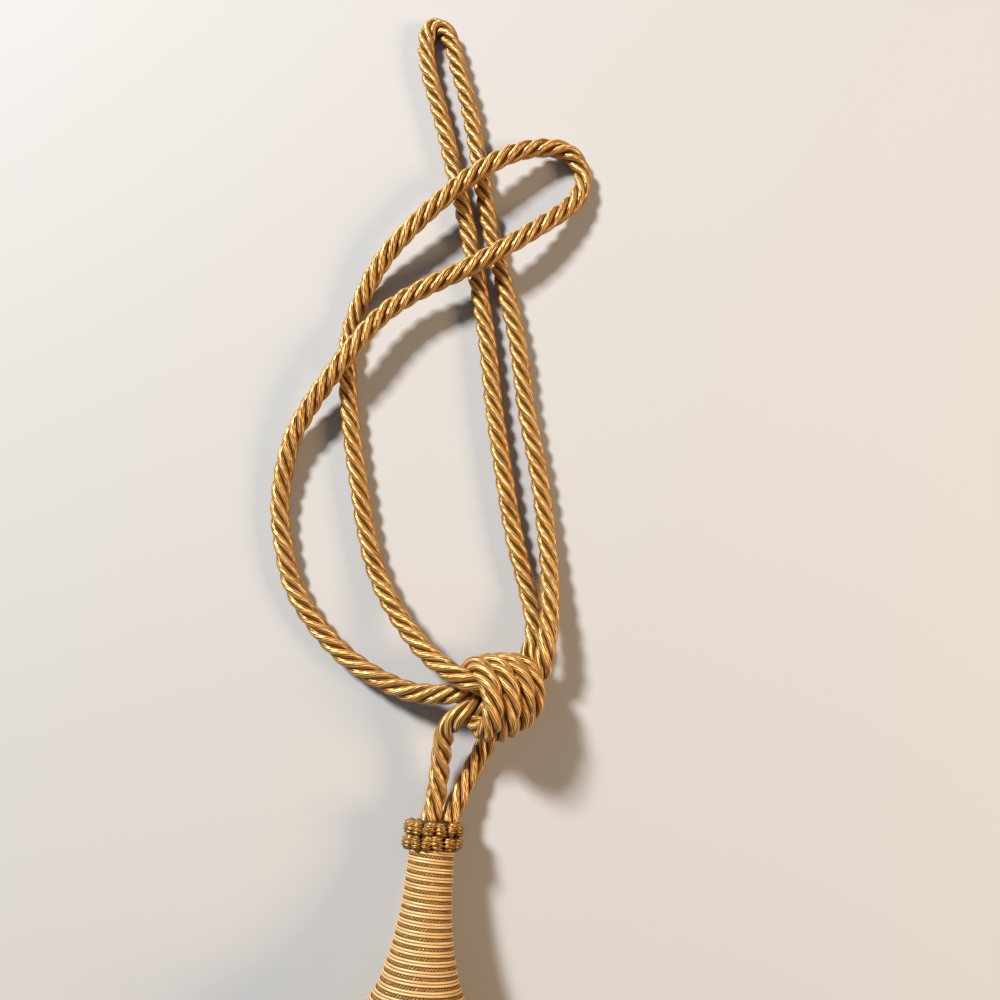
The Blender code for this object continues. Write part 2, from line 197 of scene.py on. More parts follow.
def yarnMaterial(name, look):
    # the uv is metres along the strand in u and metres round it from its crest in v. Fibres are noise drawn
    # out along u. Plies are round ridges, -cos(2 pi v / ply width + wander), where the wander follows the
    # fibres. The plies' crests are painted lighter, a painted highlight, and their hollows darker, painted
    # shade. The colour darkens towards the groove at the strand's sides, a painted shade, and the gloss is
    # drawn out along u
    material, tree, shader = newMaterial(name)
    uv = addNode(tree, "ShaderNodeUVMap", {"uv_map": "lay"}).outputs["UV"]
    grain = addNode(tree, "ShaderNodeMapping", {"vector_type": "TEXTURE"}, {
        "Vector": uv, "Rotation": (0, 0, math.atan(look["fibreSlope"])),
        "Scale": (look["fibreLength"], look["fibreWidth"], 1),
    })
    fibres = addNode(tree, "ShaderNodeTexNoise", {"noise_dimensions": "2D"}, {
        "Vector": grain.outputs[0], "Scale": 1.0, "Detail": 2.0, "Roughness": look["fibreRoughness"],
    })
    across = addNode(tree, "ShaderNodeSeparateXYZ", None, {0: uv})
    wander = addNode(tree, "ShaderNodeMath", {"operation": "MULTIPLY_ADD"}, {
        0: fibres.outputs["Fac"], 1: look["plyWander"], 2: -look["plyWander"] / 2 - math.pi / 2,
    })
    phase = addNode(tree, "ShaderNodeMath", {"operation": "MULTIPLY_ADD"}, {
        0: across.outputs["Y"], 1: 2 * math.pi / look["plyWidth"], 2: wander.outputs[0],
    })
    plies = addNode(tree, "ShaderNodeMath", {"operation": "SINE"}, {0: phase.outputs[0]})
    # painted highlight and shade: the plies' crests are painted paler and their hollows darker, on top of the
    # random streaks
    streaksAndPaintedPlyShade = addNode(tree, "ShaderNodeMath", {"operation": "MULTIPLY_ADD"}, {
        0: plies.outputs[0], 1: look["plyPaintedHighlightShade"], 2: fibres.outputs["Fac"],
    })
    colours = addNode(tree, "ShaderNodeValToRGB", None, {"Fac": streaksAndPaintedPlyShade.outputs[0]})
    colours.color_ramp.elements.new(0.5)
    for element, (position, colour) in zip(colours.color_ramp.elements, look["fibreColours"]):
        element.position = position
        element.color = hexColour(colour)
    # painted shade: the colour is darkened as v runs from the crest towards the strand's sides
    side = addNode(tree, "ShaderNodeMath", {"operation": "ABSOLUTE"}, {0: across.outputs["Y"]})
    groove = addNode(tree, "ShaderNodeMapRange", {"interpolation_type": "SMOOTHSTEP"}, {
        "Value": side.outputs[0], "From Min": look["groove"][0], "From Max": look["groove"][1],
        "To Min": 0.0, "To Max": look["paintedShadeDepth"],
    })
    shaded = addNode(tree, "ShaderNodeMix", {"data_type": "RGBA"}, {
        "Factor": groove.outputs[0], 6: colours.outputs["Color"], 7: hexColour(look["paintedShadeColour"]),
    })
    height = addNode(tree, "ShaderNodeMath", {"operation": "MULTIPLY_ADD"}, {
        0: plies.outputs[0], 1: look["plyHeight"], 2: fibres.outputs["Fac"],
    })
    bump = addNode(tree, "ShaderNodeBump", None, {
        "Height": height.outputs[0], "Strength": 1.0, "Distance": look["bumpHeight"],
    })
    tangent = addNode(tree, "ShaderNodeTangent", {"direction_type": "UV_MAP", "uv_map": "lay"})
    tree.links.new(shaded.outputs[2], shader.inputs["Base Color"])
    tree.links.new(bump.outputs[0], shader.inputs["Normal"])
    tree.links.new(tangent.outputs[0], shader.inputs["Tangent"])
    for label, value in look["surface"].items():
        shader.inputs[label].default_value = value
    return material


# rayon rope: bright parallel filaments, so each strand has a long cream line of gloss on a streaky deep gold
# body. Its plies are painted paler on their crests, a painted highlight, and darker in their hollows, and
# each strand is painted darker towards its grooves: painted shade. A filament is about 0.02 mm across, too
# fine to show, so bundles of them are drawn 0.35 mm wide
rayon = {
    "fibreLength": 12 * mm, "fibreWidth": 0.35 * mm, "fibreSlope": 0.06, "fibreRoughness": 0.6,
    "fibreColours": [(0.30, "#74460a"), (0.50, "#b4771e"), (0.68, "#f8cf82")],
    "plyWidth": 1.25 * mm, "plyPaintedHighlightShade": 0.12, "plyHeight": 0.5, "plyWander": 1.6,
    "groove": (2.0 * mm, 3.8 * mm), "paintedShadeDepth": 0.9, "paintedShadeColour": "#4c2a06",
    "bumpHeight": 0.06 * mm,
    "surface": {"Metallic": 0.55, "Specular IOR Level": 1.0, "Roughness": 0.39, "Anisotropic": 0.94},
}
ropeGold = yarnMaterial("rayon rope laid", rayon)

# rayon floss wound side by side over the mould: satin and paler than the rope, with thin brown lines between
# its turns, which are painted shade: each turn is painted darker at its sides. Its streaks are bundles of
# filaments too
smoothWinding = dict(
    rayon, fibreLength=14 * mm, fibreWidth=0.25 * mm, fibreSlope=0.03, plyPaintedHighlightShade=0.0, plyHeight=0.0,
    fibreColours=[(0.25, "#ad7f40"), (0.50, "#d3a666"), (0.75, "#f0d6a6")],
    groove=(0.40 * mm, 0.95 * mm), paintedShadeColour="#5c3a12", bumpHeight=0.05 * mm,
    surface={"Metallic": 0.25, "Roughness": 0.46, "Anisotropic": 0.6},
)
paleWinding = yarnMaterial("rayon floss wound", smoothWinding)

# fine two-ply rayon twist, laid in the channel between turns of floss: duller and browner, so it reads as a
# slanted dark line. One turn of its plies is really 2 mm and is drawn as 2.8 mm so that the slant shows
twistLook = dict(
    rayon, fibreLength=4 * mm, fibreWidth=0.2 * mm, plyPaintedHighlightShade=0.0, plyHeight=0.0,
    fibreColours=[(0.25, "#6a430e"), (0.50, "#b07c33"), (0.75, "#e2b874")],
    # painted shade: each ply is painted darker towards its sides
    groove=(0.30 * mm, 0.95 * mm), paintedShadeColour="#2a1805", bumpHeight=0.05 * mm,
    surface={"Metallic": 0.3, "Roughness": 0.42, "Anisotropic": 0.5},
)
darkTwist = yarnMaterial("rayon twist wound", twistLook)

# gimp: fine bright thread wound tightly over a soft core, so that every crimp glints and its gaps go dark,
# partly by painted shade: each bead is painted darker towards its end nearer the skirt. The thread is about
# 0.15 mm and is drawn 0.3 mm wide
gimpLook = dict(
    rayon, fibreLength=2.2 * mm, fibreWidth=0.3 * mm, fibreSlope=0.0, plyPaintedHighlightShade=0.0, plyHeight=0.0,
    fibreColours=[(0.25, "#472a08"), (0.50, "#a3722c"), (0.75, "#ebc27a")],
    groove=(2.4 * mm, 7.0 * mm), paintedShadeColour="#2a1804", bumpHeight=0.14 * mm,
    surface={"Metallic": 0.7, "Roughness": 0.34, "Anisotropic": 0.6},
)
gimpGold = yarnMaterial("antique gold gimp", gimpLook)

# two-ply rayon yarn of the fringe: the slope of its streaks is the twist of the plies, which gives a soft
# broken gloss along each yarn. Each yarn is painted darker towards one side, a painted shade
skirtLook = dict(
    rayon, fibreLength=5 * mm, fibreWidth=0.55 * mm, fibreSlope=0.8, plyPaintedHighlightShade=0.0, plyHeight=0.0,
    fibreColours=[(0.30, "#7a4c14"), (0.50, "#c08a34"), (0.72, "#edc27a")],
    groove=(1.0 * mm, 2.3 * mm), paintedShadeDepth=0.5, bumpHeight=0.25 * mm,
    surface={"Metallic": 0.4, "Roughness": 0.38, "Anisotropic": 0.5},
)
skirtYarn = yarnMaterial("rayon fringe yarn", skirtLook)


def plainMaterial(name, colour, roughness):
    # one colour and roughness all over
    material, tree, shader = newMaterial(name)
    shader.inputs["Base Color"].default_value = hexColour(colour)
    shader.inputs["Roughness"].default_value = roughness
    return material


# matt brown thread: the base layer, seen only as dark gaps between turns of winding and between gimp loops
darkCore = plainMaterial("dark core thread", "#3d2a10", 0.8)
print("materials made")


rope = {
    "radius": 4.75 * mm,
    "strands": 4,
    "strandRadius": 2.17 * mm,
    "lay": 36.4 * mm,  # the length in which a strand goes once round
    "strandSides": 8,
    "step": 0.9 * mm,
    "crease": 60,  # degrees: the grooves between strands stay crisp
}


def makeRope(name, curve, reference=(0, 0, 1), phase=0.0, look=rope, material=ropeGold):
    # laid rope as one surface: the section is a ring of circles of the strand's radius, cut off where each
    # meets the next, and it turns left-handed along the curve by 2 pi run / lay
    up, side = crossAxes(curve, reference)
    run = arcLength(curve)
    radius = look["strandRadius"]
    offset = look["radius"] - radius
    half = math.pi / look["strands"]
    # where two circles meet: how far from the rope's centre, and at what angle round a circle's own centre
    reach = offset * math.cos(half) + math.sqrt(radius ** 2 - (offset * math.sin(half)) ** 2)
    furthest = math.atan2(reach * math.sin(half), reach * math.cos(half) - offset)
    turn = np.linspace(-furthest, furthest, look["strandSides"] + 1)[:-1]
    lobe = np.stack([offset + radius * np.cos(turn), radius * np.sin(turn)], axis=1)
    angle = np.arctan2(lobe[:, 1], lobe[:, 0])
    distance = np.hypot(lobe[:, 0], lobe[:, 1])
    strand = np.arange(look["strands"])
    section = (angle[None, :] + 2 * half * strand[:, None]).ravel()
    distance = np.tile(distance, look["strands"])
    turned = section[None, :] + phase - 2 * math.pi * run[:, None] / look["lay"]
    points = curve[:, None, :] + distance[None, :, None] * (
        np.cos(turned)[..., None] * up[:, None, :] + np.sin(turned)[..., None] * side[:, None, :]
    )
    rings, sides = turned.shape
    points = points.reshape(-1, 3)
    quads = tubeFaces(rings, sides)
    centres, caps = capTriangles(points, rings, sides)
    # corners: u is the run along the rope, v the run round the strand from its crest
    local = sideCorners(quads % sides % look["strandSides"], look["strandSides"])
    width = local / look["strandSides"] * 2 * furthest - furthest
    uv = np.stack([run[quads // sides], width * radius], axis=-1).reshape(-1, 2)
    uv = np.concatenate([uv, np.zeros((caps.size, 2))])
    thing = meshFromArrays(name, np.concatenate([points, centres]), quads, caps, uv, look["crease"])
    thing.data.materials.append(material)
    return thing


upperLoop = {
    "route": [
        (0.0436, 0.1337, 0.0110), (0.0472, 0.1394, 0.0085), (0.0496, 0.1447, 0.0078),
        (0.0506, 0.1499, 0.0080), (0.0528, 0.1552, 0.0069), (0.0529, 0.1647, 0.0054),
        (0.0511, 0.1751, 0.0046), (0.0483, 0.1871, 0.0046), (0.0439, 0.2042, 0.0046),
        (0.0381, 0.2391, 0.0046), (0.0336, 0.2714, 0.0046), (0.0299, 0.3069, 0.0046),
        (0.0263, 0.3307, 0.0046), (0.0187, 0.3719, 0.0046), (0.0132, 0.3960, 0.0046),
        (0.0082, 0.4193, 0.0046), (0.0020, 0.4443, 0.0046), (-0.0021, 0.4599, 0.0046),
        (-0.0037, 0.4733, 0.0046), (-0.0036, 0.4801, 0.0046), (-0.0026, 0.4843, 0.0046),
        (0.0001, 0.4868, 0.0046), (0.0037, 0.4869, 0.0046), (0.0070, 0.4843, 0.0046),
        (0.0094, 0.4797, 0.0046), (0.0110, 0.4746, 0.0046), (0.0132, 0.4648, 0.0046),
        (0.0187, 0.4443, 0.0046), (0.0243, 0.4134, 0.0046), (0.0308, 0.3719, 0.0046),
        (0.0402, 0.3307, 0.0046), (0.0458, 0.3042, 0.0046), (0.0497, 0.2714, 0.0046),
        (0.0555, 0.2391, 0.0046), (0.0591, 0.2090, 0.0056), (0.0605, 0.1821, 0.0091),
        (0.0595, 0.1633, 0.0141), (0.0574, 0.1497, 0.0166), (0.0568, 0.1450, 0.0145),
        (0.0545, 0.1400, 0.0110),
    ],
    "phase": 0.4,
}
sideLoop = {
    "route": [
        (0.0330, 0.1350, 0.0270), (0.0269, 0.1380, 0.0306), (0.0207, 0.1401, 0.0300),
        (0.0117, 0.1447, 0.0255), (0.0018, 0.1521, 0.0191), (-0.0095, 0.1651, 0.0121),
        (-0.0192, 0.1798, 0.0071), (-0.0248, 0.1929, 0.0050), (-0.0291, 0.2091, 0.0046),
        (-0.0327, 0.2290, 0.0046), (-0.0369, 0.2533, 0.0046), (-0.0412, 0.2935, 0.0046),
        (-0.0402, 0.3095, 0.0046), (-0.0348, 0.3267, 0.0063), (-0.0251, 0.3455, 0.0091),
        (-0.0126, 0.3604, 0.0121), (0.0140, 0.3855, 0.0145), (0.0273, 0.3956, 0.0145),
        (0.0429, 0.4057, 0.0126), (0.0593, 0.4117, 0.0087), (0.0728, 0.4108, 0.0058),
        (0.0802, 0.4001, 0.0046), (0.0772, 0.3849, 0.0060), (0.0499, 0.3599, 0.0132),
        (0.0214, 0.3421, 0.0145), (-0.0088, 0.3269, 0.0130), (-0.0235, 0.3153, 0.0139),
        (-0.0368, 0.2987, 0.0146), (-0.0486, 0.2828, 0.0129), (-0.0592, 0.2679, 0.0097),
        (-0.0673, 0.2523, 0.0067), (-0.0718, 0.2227, 0.0046), (-0.0690, 0.2007, 0.0046),
        (-0.0621, 0.1789, 0.0046), (-0.0389, 0.1506, 0.0067), (-0.0060, 0.1332, 0.0131),
        (0.0138, 0.1321, 0.0164), (0.0200, 0.1326, 0.0178), (0.0260, 0.1337, 0.0180),
        (0.0315, 0.1340, 0.0175),
    ],
    "phase": 1.1,
}
neckLeft = {
    "route": [
        (0.0380, 0.1330, 0.0180), (0.0330, 0.1313, 0.0200), (0.0281, 0.1285, 0.0230),
        (0.0234, 0.1262, 0.0265), (0.0194, 0.1243, 0.0270), (0.0156, 0.1213, 0.0250),
        (0.0120, 0.1157, 0.0205), (0.0104, 0.1074, 0.0158), (0.0091, 0.0972, 0.0128),
        (0.0080, 0.0884, 0.0124), (0.0059, 0.0791, 0.0135), (0.0052, 0.0752, 0.0138),
    ],
    "phase": 2.0,
}
neckRight = {
    "route": [
        (0.0370, 0.1210, 0.0130), (0.0345, 0.1160, 0.0095), (0.0316, 0.1118, 0.0071),
        (0.0287, 0.1062, 0.0056), (0.0250, 0.0994, 0.0056), (0.0200, 0.0901, 0.0072),
        (0.0149, 0.0794, 0.0096), (0.0131, 0.0752, 0.0110),
    ],
    "phase": 0.0,
}

ropes = {}
for label, piece in (
    ("upper loop", upperLoop), ("side loop", sideLoop),
    ("left neck leg", neckLeft), ("right neck leg", neckRight),
):
    piece["curve"] = smoothRoute(piece["route"], rope["step"])
    ropes[label] = makeRope(label, piece["curve"], phase=piece["phase"])
print("ropes laid")


coil = {
    "start": (0.02663, 0.1302, 0.0263),  # the middle of turn 0, the leftmost
    "pitch": 7.2 * mm,
    "bearing": 11.0,  # degrees anticlockwise from the X axis
    "tilts": (28.0, 50.0),  # degrees that the axis dips at turns 0 and 3
    "turnRadius": [15.0 * mm, 15.0 * mm, 14.4 * mm, 12.8 * mm],  # at turns 0 to 3
    # the turns where the rope starts and ends
    "from": 3.45,
    "to": -0.32,
    "samples": 900,
    "phase": 0.7,
    # each tuck: the turn where it starts, how many turns it takes, and how far in it goes
    "rightTuck": (3.15, 0.30, 4.5 * mm),
    "leftTuck": (-0.06, -0.26, 9.0 * mm),
}


def coilCurve(piece):
    # helix about an axis that dips more with each turn, from its right end to its left; returns the curve and
    # the axis beside each of its points. A tucked end moves in by its depth times the square of its share
    turn = np.linspace(piece["from"], piece["to"], piece["samples"])
    bearing = math.radians(piece["bearing"])
    flat = np.array([math.cos(bearing), math.sin(bearing), 0])
    down = np.array([0, 0, -1.0])
    across = np.array([-math.sin(bearing), math.cos(bearing), 0])
    fine = np.linspace(-1, 4, 2001)
    tilts = np.radians(piece["tilts"][0] + (piece["tilts"][1] - piece["tilts"][0]) * fine / 3)
    axis = np.cos(tilts)[:, None] * flat + np.sin(tilts)[:, None] * down
    centre = np.cumsum(axis * piece["pitch"] * (fine[1] - fine[0]), axis=0)
    centre += np.array(piece["start"]) - centre[np.argmin(np.abs(fine))]
    here = interpolateRows(turn, fine, centre)
    along = unit(interpolateRows(turn, fine, axis))
    outward = np.cross(along, across)
    radius = np.interp(turn, range(len(piece["turnRadius"])), piece["turnRadius"])
    for first, turns, depth in (piece["rightTuck"], piece["leftTuck"]):
        radius -= depth * np.clip((turn - first) / turns, 0, 1) ** 2
    angle = 2 * math.pi * (0.25 - turn)
    curve = here + radius[:, None] * (np.cos(angle)[:, None] * across + np.sin(angle)[:, None] * outward)
    return curve, along


coilPath, coilAxis = coilCurve(coil)
coilEven = resample(coilPath, rope["step"])
coilShares = np.linspace(0, 1, len(coilAxis))
coilAlong = unit(interpolateRows(np.linspace(0, 1, len(coilEven)), coilShares, coilAxis))
ropes["coil"] = makeRope("knot coil", coilEven, coilAlong, phase=coil["phase"])
print("coil wound")


tassel = {
    "start": np.array([0.00663, 0.0700, 0.0135]),  # the ruff's centre
    "bearing": math.radians(4.1),  # towards -X from straight down the Y axis
    "rise": math.radians(13),  # the head is propped up by its own rim
}
tasselFlat = np.array([-math.sin(tassel["bearing"]), -math.cos(tassel["bearing"]), 0])
tasselSide = np.array([-math.cos(tassel["bearing"]), math.sin(tassel["bearing"]), 0])
tasselAxis = tasselFlat * math.cos(tassel["rise"]) + np.array([0, 0, math.sin(tassel["rise"])])
tasselUp = np.cross(tasselSide, tasselAxis)


def onTassel(along, radius, angle):
    # a point on the tassel: run along its axis, distance from it, and angle round it from its top
    return tassel["start"] + along[..., None] * tasselAxis + radius[..., None] * (
        np.cos(angle)[..., None] * tasselUp + np.sin(angle)[..., None] * tasselSide
    )


head = {
    # along and radius of the outside of the winding, in mm
    "profile": [
        (1.6, 9.0), (4.2, 9.7), (6.0, 10.3), (8.6, 10.4), (14.0, 10.6), (20.0, 10.8), (26.0, 11.2),
        (32.0, 11.8), (38.0, 12.7), (44.0, 13.9), (50.0, 15.4), (56.0, 17.5), (61.0, 20.1), (66.0, 23.4),
        (70.0, 26.5), (74.0, 29.5), (78.0, 32.0), (81.0, 33.3), (83.5, 33.8), (86.0, 33.3), (87.4, 32.0),
        (87.8, 30.6),
    ],
    "repeat": 3.4 * mm,  # one turn of each floss and one of twist
    "flossStarts": (0.54 * mm, 1.64 * mm),
    "flossRadius": 0.54 * mm,
    "flossStep": 1.5 * mm,
    "twistStart": 2.80 * mm,
    "twistRadius": 0.62 * mm,
    "twistInset": 0.42 * mm,
    "twistStep": 0.5 * mm,
    "sides": 8,
    "samples": 60000,
    "outlineStep": 0.1 * mm,
}
twistedCord = {
    "radius": 0.64 * mm,
    "strands": 2,
    "strandRadius": 0.37 * mm,
    "lay": 2.8 * mm,
    "strandSides": 4,
    "crease": 60,
}


def woundPath(start, depth, step):
    # a helix over the head's outline, sunk by the depth: each turn moves one repeat along the outline. It
    # returns its points and the direction outwards from the mould at each
    rows = np.array(head["profile"]) * mm
    line = smoothRoute(np.column_stack([rows, np.zeros(len(rows))]), head["outlineStep"])[:, :2]
    slope = unit(np.gradient(line, axis=0))
    outward = np.column_stack([-slope[:, 1], slope[:, 0]])
    run = np.linspace(0, arcLength(line)[-1], len(line))
    at = np.linspace(start, run[-1], head["samples"])
    out = interpolateRows(at, run, outward)
    place = interpolateRows(at, run, line) - out * depth
    angle = -2 * math.pi * (at - start) / head["repeat"]
    curve = onTassel(place[:, 0], place[:, 1], angle)
    ahead = place + out * mm
    direction = unit(onTassel(ahead[:, 0], ahead[:, 1], angle) - curve)
    even = resample(curve, step)
    shares = arcLength(curve) / arcLength(curve)[-1]
    return even, interpolateRows(np.linspace(0, 1, len(even)), shares, direction)


def makeTube(name, curve, reference, radius, sides, material):
    # plain round cord: a circle carried along the curve, u along it and v round it from its outer side
    up, side = crossAxes(curve, reference)
    angle = 2 * math.pi * np.arange(sides) / sides + math.pi
    points = curve[:, None, :] + radius * (
        np.cos(angle)[None, :, None] * up[:, None, :] + np.sin(angle)[None, :, None] * side[:, None, :]
    )
    points = points.reshape(-1, 3)
    quads = tubeFaces(len(curve), sides)
    centres, caps = capTriangles(points, len(curve), sides)
    v = (sideCorners(quads % sides, sides) / sides - 0.5) * 2 * math.pi * radius
    uv = np.stack([arcLength(curve)[quads // sides], v], axis=-1).reshape(-1, 2)
    uv = np.concatenate([uv, np.zeros((caps.size, 2))])
    thing = meshFromArrays(name, np.concatenate([points, centres]), quads, caps, uv)
    thing.data.materials.append(material)
    return thing


windings = []
for name, start in zip(("floss turns a", "floss turns b"), head["flossStarts"]):
    path, out = woundPath(start, head["flossRadius"], head["flossStep"])
    windings.append(makeTube(name, path, out, head["flossRadius"], head["sides"], paleWinding))
path, out = woundPath(head["twistStart"], head["twistRadius"] + head["twistInset"], head["twistStep"])
windings.append(makeRope("twist turns", path, out, look=twistedCord, material=darkTwist))


def turnedBody(name, rows, sides, material, crease=50):
    # closed surface turned about the tassel's axis from rows of along and radius in mm, the first and last on
    # the axis; edges that turn more than the crease, in degrees, stay crisp
    rows = np.array(rows) * mm
    angle = 2 * math.pi * np.arange(sides) / sides
    inner = rows[1:-1]
    points = onTassel(
        np.repeat(inner[:, :1], sides, axis=1), np.repeat(inner[:, 1:], sides, axis=1),
        np.repeat(angle[None, :], len(inner), axis=0),
    ).reshape(-1, 3)
    ends = onTassel(rows[[0, -1], 0], rows[[0, -1], 1], np.zeros(2))
    quads = tubeFaces(len(inner), sides)
    side = np.arange(sides)
    ahead = (side + 1) % sides
    last = (len(inner) - 1) * sides
    count = len(points)
    caps = np.concatenate([
        np.stack([ahead, side, np.full(sides, count)], axis=1),
        np.stack([last + side, last + ahead, np.full(sides, count + 1)], axis=1),
    ])
    thing = meshFromArrays(name, np.concatenate([points, ends]), quads, caps, sharp=crease)
    thing.data.materials.append(material)
    return thing


mouldLook = {
    "neck": [(-6.4, 0.0), (-6.4, 7.6), (1.0, 7.6)],
    "underWinding": 0.85,  # mm below the outside of the winding
    "rim": [(87.0, 28.8), (84.2, 28.6), (84.2, 0.0)],
    "sides": 64,
}
mouldRows = [(along, radius - mouldLook["underWinding"]) for along, radius in head["profile"]]
mouldRows = mouldLook["neck"] + mouldRows + mouldLook["rim"]
mould = turnedBody("mould under the winding", mouldRows, mouldLook["sides"], darkCore)
print("head wound")


ruff = {
    "columns": 14,
    "rows": (-3.2 * mm, 2.5 * mm),
    "rowShift": 0.12,  # share of a column that the second row is turned on
    "firstColumn": 0.1,  # radians round from the top
    "beadHalfLength": 3.2 * mm,
    "beadRadius": 2.5 * mm,
    "bluntness": 3.2,
    "tipLeft": 0.02,  # the square of the share of its radius that a bead keeps at its tips
    "ring": 11.0 * mm,  # from the tassel's axis to a bead's middle
    "crimps": 4.2,
    "crimpDepth": 0.17,
    "crimpStart": 6.28,  # radians: a bead may start anywhere in its crimp
    # how much each bead may differ: radians round, metres along, sideways lean and size
    "turnSpread": 0.07,
    "shift": 0.45 * mm,
    "lean": 0.38,
    "sizes": (0.88, 1.14),
    "seed": 7,
    "around": 16,
    "lengthwise": 22,
    "band": [(-6.0, 0.0), (-6.0, 9.2), (-5.2, 10.0), (4.2, 10.0), (5.0, 9.6), (5.0, 0.0)],
    "bandSides": 48,
}


def makeRuff(piece):
    # each bead is crimped gimp: a spindle along the tassel, with t from -1 to 1 along it. Its radius is bead
    # radius * sqrt(1 - |t|^bluntness) * (1 + depth * sin(pi * crimps * t + angle round it))
    random = np.random.default_rng(piece["seed"])
    count = piece["columns"] * 2
    column = np.tile(np.arange(piece["columns"]), 2)
    row = np.repeat([0, 1], piece["columns"])
    where = 2 * math.pi * (column + piece["rowShift"] * row) / piece["columns"] + piece["firstColumn"]
    where += random.uniform(-piece["turnSpread"], piece["turnSpread"], count)
    middle = np.array(piece["rows"])[row] + random.uniform(-piece["shift"], piece["shift"], count)
    lean = random.uniform(-piece["lean"], piece["lean"], count)
    size = random.uniform(*piece["sizes"], count)
    share = np.linspace(-1, 1, piece["lengthwise"])[None, :, None]
    turn = (2 * math.pi * np.arange(piece["around"]) / piece["around"])[None, None, :]
    envelope = np.sqrt(np.clip(1 - np.abs(share) ** piece["bluntness"], piece["tipLeft"], 1))
    start = random.uniform(0, piece["crimpStart"], count)[:, None, None]
    crimp = 1 + piece["crimpDepth"] * np.sin(math.pi * piece["crimps"] * share + turn + start)
    thick = piece["beadRadius"] * size[:, None, None] * envelope * crimp
    along = np.broadcast_to(middle[:, None, None] + share * piece["beadHalfLength"], thick.shape)
    aside = np.sin(turn) * thick + share * piece["beadHalfLength"] * lean[:, None, None]
    out = piece["ring"] + np.cos(turn) * thick
    radius = np.hypot(out, aside)
    angle = where[:, None, None] + np.arctan2(aside, out)
    points = onTassel(along, radius, angle).reshape(-1, 3)
    each = piece["lengthwise"] * piece["around"]
    starts = np.arange(count) * each
    quads = (tubeFaces(piece["lengthwise"], piece["around"])[None] + starts[:, None, None]).reshape(-1, 4)
    centres, caps = capTriangles(points, piece["lengthwise"], piece["around"], starts)
    local = quads % each
    # the thread runs round the bead, so u goes round it and v along it
    lengthways = local // piece["around"] / piece["lengthwise"] * 2 * piece["beadHalfLength"]
    roundIt = (sideCorners(local % piece["around"], piece["around"]) / piece["around"] - 0.5) * 2 * math.pi
    uv = np.stack([roundIt * piece["beadRadius"], lengthways], axis=-1).reshape(-1, 2)
    uv = np.concatenate([uv, np.zeros((caps.size, 2))])
    thing = meshFromArrays("gimp ruff", np.concatenate([points, centres]), quads, caps, uv)
    thing.data.materials.append(gimpGold)
    return thing


ruffBeads = makeRuff(ruff)
ruffBand = turnedBody("ruff band", ruff["band"], ruff["bandSides"], darkCore)
print("ruff made")


skirt = {
    "start": 84.4 * mm,
    # in mm: along, half width, bottom and top of the bundle's section; then its lean in degrees
    "sections": [
        (0.0, 28.0, 5.3, 60.0, 13.0), (5.0, 28.0, 5.2, 60.2, 13.0), (14.0, 30.4, 1.6, 59.2, 12.0),
        (26.0, 33.8, 0.9, 54.3, 10.0), (42.0, 37.8, 0.7, 45.3, 7.0), (60.0, 41.3, 0.7, 36.3, 4.0),
        (80.0, 44.3, 0.7, 28.3, 2.0), (102.0, 46.8, 0.7, 22.3, 0.0), (122.0, 48.3, 0.7, 18.8, 0.0),
        (136.0, 48.8, 0.7, 16.3, 0.0),
    ],
    "squareness": [(0, 1.0), (20, 1.0), (40, 0.86)],  # mm along, and the power that squares the oval section
    "yarnRadius": 0.72 * mm,
    "shells": [(1.0, 150), (0.86, 100), (0.62, 60), (0.3, 24)],  # share of the section, and yarns round it
    "raggedEnds": (-3.5, 0.6),  # mm that a yarn may fall short or run long
    "spacing": 0.012,  # radians of unevenness round the bundle at the head
    "drift": 0.02,  # radians that a yarn strays by its end
    "wave": 0.018,  # radians that a yarn waves to and fro on the way
    "waves": (4, 9),  # radians of that wave from end to end
    "waveStart": 6,  # radians: a yarn may start anywhere in its wave
    "strayPower": 1.5,  # drift and wave both grow as the share of the length to this power
    "drawIn": 0.05,  # share that a yarn may draw in towards the bundle's middle by its end
    "taper": [(0.0, 1.0), (0.985, 1.0), (1.0, 0.6)],
    "streakOffset": 0.37,  # metres of streak pattern between one yarn and the next, so that none match
    "seed": 11,
    "rings": 34,
    "sides": 5,
}


